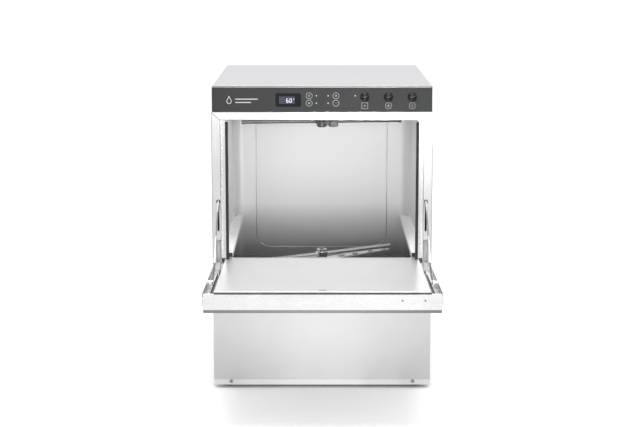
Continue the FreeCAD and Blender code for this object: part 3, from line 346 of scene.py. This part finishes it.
def turned(bm, section, place, axis, steps=48):
    """A turned solid from (radius, height) pairs, its axis along a unit vector from a place."""
    turn = Vector((0, 0, 1)).rotation_difference(axis).to_matrix().to_4x4()
    move = Matrix.Translation(place) @ turn
    rings = []
    for radius, height in section:
        if radius < 1e-9:
            rings.append([bm.verts.new(move @ Vector((0, 0, height)))])
            continue
        rings.append([bm.verts.new(move @ Vector((radius * math.cos(2 * math.pi * i / steps),
                                                  radius * math.sin(2 * math.pi * i / steps), height)))
                      for i in range(steps)])
    for low, high in zip(rings[:-1], rings[1:]):
        for i in range(steps):
            j = (i + 1) % steps
            corners = [low[i % len(low)], low[j % len(low)], high[j % len(high)], high[i % len(high)]]
            seen = []
            for v in corners:
                if v not in seen:
                    seen.append(v)
            if len(seen) > 2:
                bm.faces.new(seen)


def shade_smooth(obj, angle):
    """Smooth shading, with edges kept sharp above an angle in degrees."""
    for face in obj.data.polygons:
        face.use_smooth = True
    obj.data.set_sharp_from_angle(angle=math.radians(angle))


# ---------------------------------------------------------------- fascia
RING_CENTRES = ((-35, 818), (37, 818), (-35, 798), (37, 798))
BUTTONS = (("button_power", 115), ("button_program", 179), ("button_start", 243))
KEY_BODIES = {"button_power": "power_key", "button_program": "program_key", "button_start": "start_key"}
PEN = 0.6 * MM
DROP_PEN, BAR_PEN = 1.8 * MM, 2.6 * MM
RING_RADIUS, RING_PEN, RING_SYMBOL = 8.3 * MM, 1.3 * PEN, 4.4 * MM
SIGN_Z, SIGN_SQUARE, SIGN_SYMBOL = 791, 8.0 * MM, 4.6 * MM
DROP_CENTRE, DROP_SIZE = (-251, 803), 11 * MM
BAR_LEFT, BAR_HIGH, BAR_PITCH, BAR_LENGTHS = -233, 809, 9, (58, 40)


def at(x, z):
    """A place on the fascia, from millimetres to metres."""
    return x * MM, z * MM


def moved(centre, points, size):
    """Points of a pictogram drawn in a unit square, placed and sized."""
    return [(centre[0] + u * size, centre[1] + v * size) for u, v in points]


def draw_glass(bm, c, s):
    stroke(bm, moved(c, [(-0.5, 0.6), (-0.3, -0.2), (0.3, -0.2), (0.5, 0.6), (-0.5, 0.6)], s), PEN)
    stroke(bm, moved(c, [(0, -0.2), (0, -0.7)], s), PEN)
    stroke(bm, moved(c, [(-0.3, -0.7), (0.3, -0.7)], s), PEN)


def draw_plate(bm, c, s):
    arc_band(bm, c, 0.55 * s, PEN, steps=28)
    arc_band(bm, c, 0.22 * s, PEN, steps=20)


def draw_cup(bm, c, s):
    stroke(bm, moved(c, [(-0.55, 0.4), (-0.4, -0.45), (0.25, -0.45), (0.4, 0.4), (-0.55, 0.4)], s), PEN)
    arc_band(bm, (c[0] + 0.42 * s, c[1]), 0.2 * s, PEN, -90, 180, 12)


def draw_waves(bm, c, s):
    for row in (-0.4, 0.0, 0.4):
        points = [(-0.6 + 0.1 * i, row + 0.12 * math.sin(i * math.pi / 3)) for i in range(13)]
        stroke(bm, moved(c, points, s), PEN)


def draw_power(bm, c, s):
    arc_band(bm, c, 0.45 * s, PEN, 120, 300, 24)
    stroke(bm, moved(c, [(0, 0.1), (0, 0.65)], s), PEN)


def draw_start(bm, c, s):
    stroke(bm, moved(c, [(-0.3, 0.5), (0.5, 0.0), (-0.3, -0.5), (-0.3, 0.5)], s), PEN)


def draw_drop(bm, c, s):
    """A plain water drop: two straight flanks that meet in a round bowl."""
    arc_band(bm, c, 0.55 * s, DROP_PEN, 152, 236, 28)
    tip = (0, 1.25)
    for side in (-1, 1):
        stroke(bm, moved(c, [(side * 0.486, 0.258), tip], s), DROP_PEN)


def fascia_ink(bm):
    """The ringed symbols by the lamps, a sign under each button, and the mark: a drop with two bars."""
    for (x, z), draw in zip(RING_CENTRES, (draw_glass, draw_cup, draw_plate, draw_waves)):
        arc_band(bm, at(x, z), RING_RADIUS, RING_PEN)
        draw(bm, at(x, z), RING_SYMBOL)
    for (name, x), draw in zip(BUTTONS, (draw_power, draw_plate, draw_start)):
        centre = at(x, SIGN_Z)
        if name == "button_power":
            corners = ((-1, -1), (1, -1), (1, 1), (-1, 1), (-1, -1))
            stroke(bm, moved(centre, corners, SIGN_SQUARE), RING_PEN)
        else:
            arc_band(bm, centre, RING_RADIUS, RING_PEN)
        draw(bm, centre, SIGN_SYMBOL)
    draw_drop(bm, at(*DROP_CENTRE), DROP_SIZE)
    for step, length in enumerate(BAR_LENGTHS):
        z = BAR_HIGH - BAR_PITCH * step
        stroke(bm, [at(BAR_LEFT, z), at(BAR_LEFT + length, z)], BAR_PEN)


SEGMENTS = {"top": ((0, 2), (1, 2)), "mid": ((0, 1), (1, 1)), "low": ((0, 0), (1, 0)),
            "ul": ((0, 1), (0, 2)), "ur": ((1, 1), (1, 2)), "ll": ((0, 0), (0, 1)), "lr": ((1, 0), (1, 1))}
FIGURES = {"6": ("top", "mid", "low", "ul", "ll", "lr"), "0": ("top", "low", "ul", "ur", "ll", "lr")}
DIGIT_WIDE, DIGIT_HALF_TALL, DIGIT_GAP, DIGIT_PEN = 4.6, 4.8, 0.7, 0.95 * MM
DIGIT_LEFT, DIGIT_LOW, DIGIT_PITCH = -96, 800, 8.6
DEGREE_CENTRE, DEGREE_RADIUS, DEGREE_PEN = (-76.6, 808.4), 1.1 * MM, 0.5 * MM


def display_digits(bm):
    """A temperature reading in seven-segment figures on the lens."""
    for place, figure in enumerate("60"):
        left = DIGIT_LEFT + place * DIGIT_PITCH
        for name in FIGURES[figure]:
            (u0, v0), (u1, v1) = SEGMENTS[name]
            start = Vector((left + u0 * DIGIT_WIDE, DIGIT_LOW + v0 * DIGIT_HALF_TALL))
            end = Vector((left + u1 * DIGIT_WIDE, DIGIT_LOW + v1 * DIGIT_HALF_TALL))
            inset = (end - start).normalized() * DIGIT_GAP
            stroke(bm, [at(*(start + inset)), at(*(end - inset))], DIGIT_PEN)
    arc_band(bm, at(*DEGREE_CENTRE), DEGREE_RADIUS, DEGREE_PEN, steps=16)


def button_cap(name):
    """A glossy domed cap with a rolled shoulder, sunk in its ring."""
    low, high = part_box(name)
    middle = Vector(((low[0] + high[0]) / 2, high[1], (low[2] + high[2]) / 2))
    radius = (high[0] - low[0]) / 2
    stem, back, ease, dome, steps = 3 * MM, 8 * MM, 0.4 * MM, 4.6 * MM, 12
    shoulder = high[1] - low[1] - dome
    section = [(0, 0), (stem, 0), (stem, back), (radius - ease, back), (radius, back + ease),
               (radius, shoulder)]
    for step in range(1, steps + 1):
        turn = math.radians(90 * step / steps)
        reach = radius * math.cos(turn) ** 0.75 if step < steps else 0
        section.append((reach, shoulder + dome * math.sin(turn)))

    def build(bm):
        turned(bm, section, middle, FORWARD, 64)

    cap = mesh_object(name + "_cap", build, GLOSS_BLACK, KEY_BODIES[name])
    shade_smooth(cap, 50)
    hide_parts(name)


def bezel_rings():
    """Rings round the buttons, rounded over their front edge."""
    low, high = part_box("button_bezels")
    middle_z = (low[2] + high[2]) / 2
    outer, bore = (high[2] - low[2]) / 2, 10.9 * MM
    middle, half = (outer + bore) / 2, (outer - bore) / 2
    front, behind, neck, foot, steps = FRONT_Y - low[1], -4 * MM, outer - 0.7 * MM, 0.3 * MM, 8
    section = [(neck, behind), (neck, 0), (outer, 0.02 * MM)]
    for step in range(steps + 1):
        turn = math.radians(180 * step / steps)
        section.append((middle + half * math.cos(turn), foot + (front - foot) * math.sin(turn)))
    section.append((bore, behind))
    section.append(section[0])

    def build(bm):
        for _, x in BUTTONS:
            turned(bm, section, Vector((x * MM, FRONT_Y, middle_z)), FORWARD, 64)
        bmesh.ops.remove_doubles(bm, verts=bm.verts, dist=1e-7)

    rings = mesh_object("button_rings", build, GLOSS_BLACK, "cabinet")
    shade_smooth(rings, 40)
    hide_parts("button_bezels")


def lit_panel(bm):
    """The part of the display that glows faintly behind the figures."""
    left, right, low, high = -116 * MM, -74 * MM, 796 * MM, 816 * MM
    slab(bm, [(left, low), (right, low), (right, high), (left, high)], 0.05 * MM)


def make_fascia():
    """Everything printed on the fascia or set in it."""
    mesh_object("fascia_pictograms", fascia_ink, INK, "cabinet")
    lens_front = Matrix.Translation((0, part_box("display_window")[0][1] - FRONT_Y - 0.1 * MM, 0))
    panel = mesh_object("display_lit_panel", lit_panel, LIT_PANEL, "cabinet")
    panel.data.transform(lens_front)
    digits = mesh_object("display_figures", display_digits, DIGIT, "cabinet")
    digits.data.transform(lens_front)
    for name, _ in BUTTONS:
        button_cap(name)
    bezel_rings()


# ---------------------------------------------------------------- small fittings
def solid(bm, outline, low, high, order=(0, 1, 2)):
    """A closed solid: an outline of (first, second) swept from low to high along the third axis."""
    def point(pair, along):
        values = (pair[0], pair[1], along)
        return Vector([values[i] for i in order])
    start = [bm.verts.new(point(pair, low)) for pair in outline]
    end = [bm.verts.new(point(pair, high)) for pair in outline]
    count = len(outline)
    bm.faces.new(start[::-1])
    bm.faces.new(end)
    for i in range(count):
        j = (i + 1) % count
        bm.faces.new((start[i], start[j], end[j], end[i]))


SWEPT_X = (2, 0, 1)
SWEPT_Y = (0, 2, 1)
HINGE_Y, HINGE_Z = -320 * MM, 352 * MM
RIM_ABOVE_AXIS = 9 * MM


def frame_tilt():
    """How far the open door leans above level, in degrees: a right angle less the hinge's travel."""
    hinge = next(j for j in frame["joints"] if j["name"] == "door_hinge")
    return 90 - hinge["range_deg"][1]


def rim_height(y):
    """Height of the door's rim at rest, at a place along Y."""
    tilt = math.radians(frame_tilt())
    return HINGE_Z + (HINGE_Y - y) * math.tan(tilt) + RIM_ABOVE_AXIS / math.cos(tilt)


def top_hem():
    """The rolled front hem of the top panel: a half-round bead along X, in dark steel that paints the shade
    on it.
    """
    low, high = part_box("top_panel")
    front, top = low[1], high[2]
    half = 2.6 * MM
    centre = top - half - 0.2 * MM
    arc = [(front - 1.0 * MM * math.sin(math.radians(a)), centre + half * math.cos(math.radians(a)))
           for a in range(0, 181, 15)]
    outline = arc + [(front + 0.2 * MM, centre - half), (front + 0.2 * MM, centre + half)]

    def build(bm):
        solid(bm, outline, low[0], high[0], SWEPT_X)

    hem = mesh_object("top_panel_hem", build, STEEL_HEM, "cabinet")
    shade_smooth(hem, 40)


def door_edge_shade_strip():
    """A dark strip in the joint between the door's inner panel and its handle lip: painted shade for the
    shadow gap there, in the gasket's rubber.
    """
    liner_low, liner_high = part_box("door_inner_panel")
    lip, gap = 7.2 * MM, 0.3 * MM
    front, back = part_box("door_outer_skin")[0][1] + lip, liner_low[1] - gap
    half = (liner_high[0] - liner_low[0]) / 2
    rim_front, rim_back = rim_height(front), rim_height(back)
    sunk, crown, flank, ease = 0.1 * MM, 0.9 * MM, 1.2 * MM, 0.4 * MM
    outline = [(front, rim_front - sunk), (back, rim_back - sunk), (back, rim_back + crown - ease),
               (back - flank, rim_back + crown), (front + flank, rim_front + crown),
               (front, rim_front + crown - ease)]

    def build(bm):
        solid(bm, outline, -half, half, SWEPT_X)

    gap_shade = mesh_object("door_edge_shade_strip", build, RUBBER, "door")
    shade_smooth(gap_shade, 40)


def corner_seams():
    """The fine joints of the front frame: mitres at its top corners and its edges against the side panels."""
    low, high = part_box("front_frame")
    inner, under, sill, mitre = 275.7 * MM, 751.6 * MM, 84 * MM, 3 * MM
    width = 1.2 * MM
    edge, post = high[0] - width / 2, inner + 0.5 * MM

    def build(bm):
        for side in (-1, 1):
            corner = (side * (high[0] - mitre), high[2] - mitre)
            stroke(bm, [corner, (side * (inner + MM), under + MM)], width)
            stroke(bm, [(side * edge, low[2] + MM), (side * edge, high[2] - MM)], width)
            stroke(bm, [(side * post, low[2] + sill), (side * post, under)], width)
        stroke(bm, [(-inner, under + 0.5 * MM), (inner, under + 0.5 * MM)], width)

    seams = mesh_object("frame_corner_seams", build, SEAM, "cabinet")
    seams.data.transform(Matrix.Translation((0, low[1] - FRONT_Y, 0)))


def pocket_plates():
    """Ribbed steel plates that close the hinge pockets behind the posts."""
    ribs, left, right = 4, 279.4 * MM, 288.6 * MM
    low, high = 359.2 * MM, 420.4 * MM
    pitch = (right - left) / (2 * ribs)
    ridge, valley, back = -306.2 * MM, -304.2 * MM, -303.2 * MM
    for side, word in ((-1, "left"), (1, "right")):
        wave = [(side * (left + i * pitch), ridge if i % 2 else valley) for i in range(2 * ribs + 1)]
        outline = wave + [(side * right, back), (side * left, back)]

        def build(bm, outline=outline):
            solid(bm, outline, low, high)

        plate = mesh_object("hinge_pocket_plate_" + word, build, STEEL_PLATE, "cabinet")
        shade_smooth(plate, 20)


def door_place():
    """From the door laid level, with the hinge axis at the origin, to where it rests."""
    tilt = math.radians(frame_tilt())
    return Matrix.Translation((0, HINGE_Y, HINGE_Z)) @ Matrix.Rotation(-tilt, 4, "X")


def door_lip_roll():
    """The rolled lower edge of the door's handle lip, a darker line along its whole width: painted shade on
    the roll.
    """
    reach, drop, radius, half = 421 * MM, 37.5 * MM, 9 * MM, 291 * MM
    centre = (radius - reach, radius - drop)

    def arc(r, order):
        turns = [math.radians(angle) for angle in order]
        return [(centre[0] - r * math.cos(turn), centre[1] - r * math.sin(turn)) for turn in turns]

    outline = arc(radius + 0.25 * MM, range(0, 91, 10)) + arc(radius + 0.03 * MM, range(90, -1, -10))

    def build(bm):
        solid(bm, outline, -half, half, SWEPT_X)

    roll = mesh_object("door_lip_roll", build, STEEL_HEM, "door")
    roll.data.transform(door_place())
    shade_smooth(roll, 40)


def channel_mechanism():
    """Dark guide rails, links and spring ends that fill the door's side channels."""
    place = door_place()
    inner, outer = 266.5 * MM, 278.5 * MM

    guide, inset, bottom, first, last = 2.0 * MM, 2.2 * MM, -14 * MM, 118 * MM, 372 * MM
    count, pitch = 12, 21

    def bar(bm, side, x_low, x_high, near, far, top):
        """A bar in the channel, on the door laid level: near and far are distances from the hinge axis."""
        corners = [(-near, bottom), (-far, bottom), (-far, top), (-near, top)]
        solid(bm, corners, side * x_low, side * x_high, SWEPT_X)

    def row(bm, side, start, length, top):
        """Evenly spaced bars between the two guides."""
        for step in range(count):
            near = (start + pitch * step) * MM
            bar(bm, side, inner + inset, outer - inset, near, near + length, top)

    for side, word in ((-1, "left"), (1, "right")):
        def build_dark(bm, side=side):
            bar(bm, side, inner, inner + guide, first, last, 2.0 * MM)
            bar(bm, side, outer - guide, outer, first, last, 1.0 * MM)
            row(bm, side, 124, 9 * MM, -3 * MM)

        def build_bright(bm, side=side):
            row(bm, side, 135, 7 * MM, -1 * MM)

        rails = mesh_object("channel_guides_" + word, build_dark, MATT_BLACK, "door")
        links = mesh_object("channel_links_" + word, build_bright, ZINC, "door")
        for piece in (rails, links):
            piece.data.transform(place)


def tube(bm, path, radius, steps=8):
    """A closed round bead along a loop of points that lie in a plane of constant Y."""
    depth = Vector((0, 1, 0))
    rings = []
    for i, point in enumerate(path):
        ahead = (Vector(path[(i + 1) % len(path)]) - Vector(path[i - 1])).normalized()
        across = depth.cross(ahead).normalized()
        turns = [2 * math.pi * k / steps for k in range(steps)]
        spokes = [math.cos(turn) * across + math.sin(turn) * depth for turn in turns]
        rings.append([bm.verts.new(Vector(point) + radius * spoke) for spoke in spokes])
    for i, ring in enumerate(rings):
        after = rings[(i + 1) % len(rings)]
        for k in range(steps):
            bm.faces.new((ring[k], after[k], after[(k + 1) % steps], ring[(k + 1) % steps]))


def back_panel_bead():
    """The pressed bead round the raised field of the chamber's back wall."""
    half, low, high, corner = 204.5 * MM, 277 * MM, 720 * MM, 46 * MM
    y, thickness, steps = 250 * MM, 1.6 * MM, 8
    path = []
    for cx, cz, start in ((half - corner, low + corner, -90), (half - corner, high - corner, 0),
                          (corner - half, high - corner, 90), (corner - half, low + corner, 180)):
        for step in range(steps + 1):
            turn = math.radians(start + 90 * step / steps)
            path.append((cx + corner * math.cos(turn), y, cz + corner * math.sin(turn)))

    def build(bm):
        tube(bm, path, thickness)

    bead = mesh_object("back_panel_bead", build, STEEL_ARM, "cabinet")
    shade_smooth(bead, 60)


def rail_ends():
    """Dark end caps that close the fronts of the rack rails."""
    wide, bottom, top = 24 * MM, 368 * MM, 380 * MM
    for side, word in ((-1, "left"), (1, "right")):
        low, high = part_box("rack_rail_" + word)
        inner = min(abs(low[0]), abs(high[0]))
        front, back = low[1] - 2.2 * MM, low[1] - 0.1 * MM
        outline = [(side * inner, front), (side * (inner + wide), front),
                   (side * (inner + wide), back), (side * inner, back)]

        def build(bm, outline=outline):
            solid(bm, outline, bottom, top)

        mesh_object("rail_end_cap_" + word, build, MATT_BLACK, "cabinet")


def screw_recesses():
    """Cross recesses in the heads of the trim and rear screws, as dark inlays."""
    low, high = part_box("cabinet_screws")
    arm, half, proud, sunk = 2.6 * MM, 0.45 * MM, 0.03 * MM, 0.4 * MM
    heads = [(x * MM, low[1], 20.5 * MM, -1) for x in (-252, 252)]
    heads += [(x * MM, high[1], z * MM, 1) for x in (-291, 291) for z in (40, 240, 440, 640, 820)]

    def build(bm):
        for x, y, z, way in heads:
            for wide, tall in ((arm, half), (half, arm)):
                outline = [(x - wide, z - tall), (x + wide, z - tall),
                           (x + wide, z + tall), (x - wide, z + tall)]
                solid(bm, outline, y + way * proud, y - way * sunk, SWEPT_Y)

    mesh_object("screw_recesses", build, MATT_BLACK, "cabinet")


def make_fittings():
    """The fittings that the CAD leaves out."""
    top_hem()
    door_edge_shade_strip()
    corner_seams()
    pocket_plates()
    door_lip_roll()
    channel_mechanism()
    back_panel_bead()
    rail_ends()
    screw_recesses()


# ---------------------------------------------------------------- light and camera
def area_light(name, place, aim, size, power):
    """A rectangular light at a place, turned towards a point."""
    data = bpy.data.lights.new(name, "AREA")
    data.shape = "RECTANGLE"
    data.size, data.size_y = size
    data.energy = power
    obj = bpy.data.objects.new(name, data)
    obj.location = place
    obj.rotation_euler = (Vector(aim) - Vector(place)).to_track_quat("-Z", "Y").to_euler()
    bpy.context.scene.collection.objects.link(obj)
    return obj


def grey(level):
    """An opaque grey."""
    return (level, level, level, 1)


def by_ray(tree, output, first, second, socket):
    """Feed a colour socket the first grey, or the second for rays of one kind."""
    path = tree.nodes.new("ShaderNodeLightPath")
    mix = tree.nodes.new("ShaderNodeMix")
    mix.data_type = "RGBA"
    mix.inputs["A"].default_value = grey(first)
    mix.inputs["B"].default_value = grey(second)
    tree.links.new(path.outputs[output], mix.inputs["Factor"])
    tree.links.new(mix.outputs["Result"], socket)
    return mix


FLOOR_BOUNCED, FLOOR_SEEN = 0.38, 0.97
WORLD_LEVEL = 1.12


def make_floor():
    """A wide floor, nearly white to the camera and a middle grey to light that bounces off it."""
    bm = bmesh.new()
    bmesh.ops.create_grid(bm, x_segments=1, y_segments=1, size=40)
    data = bpy.data.meshes.new("floor")
    bm.to_mesh(data)
    bm.free()
    floor = bpy.data.objects.new("floor", data)
    bpy.context.scene.collection.objects.link(floor)
    mat, tree, shader = new_material("floor_white", (0.9, 0.9, 0.9), 0.0, 0.8)
    shader.inputs["Specular IOR Level"].default_value = 0.0
    by_ray(tree, "Is Camera Ray", FLOOR_BOUNCED, FLOOR_SEEN, shader.inputs["Base Color"])
    dress(floor, mat)


def make_world():
    """White to the camera, and a white room that darkens overhead in the reflections."""
    world = bpy.data.worlds.new("studio")
    world.use_nodes = True
    tree = world.node_tree
    back = tree.nodes["Background"]
    place = tree.nodes.new("ShaderNodeTexCoord")
    split = tree.nodes.new("ShaderNodeSeparateXYZ")
    tree.links.new(place.outputs["Generated"], split.inputs["Vector"])
    ramp = tree.nodes.new("ShaderNodeValToRGB")
    ramp.color_ramp.interpolation = "EASE"
    ramp.color_ramp.elements[0].position = 0.0
    ramp.color_ramp.elements[0].color = (0.93, 0.93, 0.94, 1)
    ramp.color_ramp.elements[1].position = 0.9
    ramp.color_ramp.elements[1].color = (0.55, 0.55, 0.57, 1)
    tree.links.new(split.outputs["Z"], ramp.inputs["Fac"])
    mix = by_ray(tree, "Is Glossy Ray", WORLD_LEVEL, 1.0, back.inputs["Color"])
    tree.links.new(ramp.outputs["Color"], mix.inputs["B"])
    back.inputs["Strength"].default_value = 1.0
    bpy.context.scene.world = world


CAMERA_BACK, CAMERA_HIGH, CAMERA_ASIDE = 3.9649, 1.2263, -0.0113
CAMERA_PITCH, CAMERA_LENS = 0.1506, 76.72
CAMERA_SHIFT = (0.0032, -0.1)


def make_camera():
    """The camera in front of the machine, pitched down a little, with a small vertical shift."""
    data = bpy.data.cameras.new("camera")
    data.lens = CAMERA_LENS
    data.sensor_width = 36.0
    data.sensor_fit = "HORIZONTAL"
    data.shift_x, data.shift_y = CAMERA_SHIFT
    camera = bpy.data.objects.new("camera", data)
    camera.location = (CAMERA_ASIDE, -CAMERA_BACK, CAMERA_HIGH)
    camera.rotation_euler = (math.pi / 2 - CAMERA_PITCH, 0, 0)
    bpy.context.scene.collection.objects.link(camera)
    bpy.context.scene.camera = camera


def make_lights():
    """Overhead and front lights, small glints, cards on the floor, and a fill inside the chamber."""
    area_light("overhead", (0.0, -1.4, 2.9), (0, -0.3, 0.4), (1.7, 0.9), 58)
    area_light("front_wall", (0.0, -5.4, 0.95), (0, 0, 0.75), (5.0, 1.3), 26)
    area_light("glint_right", (1.1, -1.9, 1.0), (0.1, -0.3, 0.8), (0.16, 0.12), 2.4)
    area_light("glint_low", (0.2, -1.9, 0.6), (0.1, -0.3, 0.8), (0.3, 0.06), 1.5)
    for step, width in enumerate((0.24, 0.44, 0.64)):
        card = area_light("floor_card_%d" % step, (0.0, -1.1, 0.006 + 0.002 * step), (0, -1.1, 1.0),
                          (width, 1.6), 0.2 + 0.12 * step)
        card.visible_camera = False
    fill = area_light("chamber_fill", (0.0, -0.24, 0.74), (0, 0.16, 0.5), (0.42, 0.06), 0.22)
    down = area_light("chamber_down", (0.0, -0.05, 0.69), (0, -0.05, 0.3), (0.36, 0.3), 0.22)
    for lamp in (fill, down):
        lamp.visible_camera = False
        lamp.visible_glossy = False


make_camera()
dress_cad()
make_fascia()
make_fittings()
make_floor()
make_world()
make_lights()
bpy.context.scene.view_settings.view_transform = "Standard"
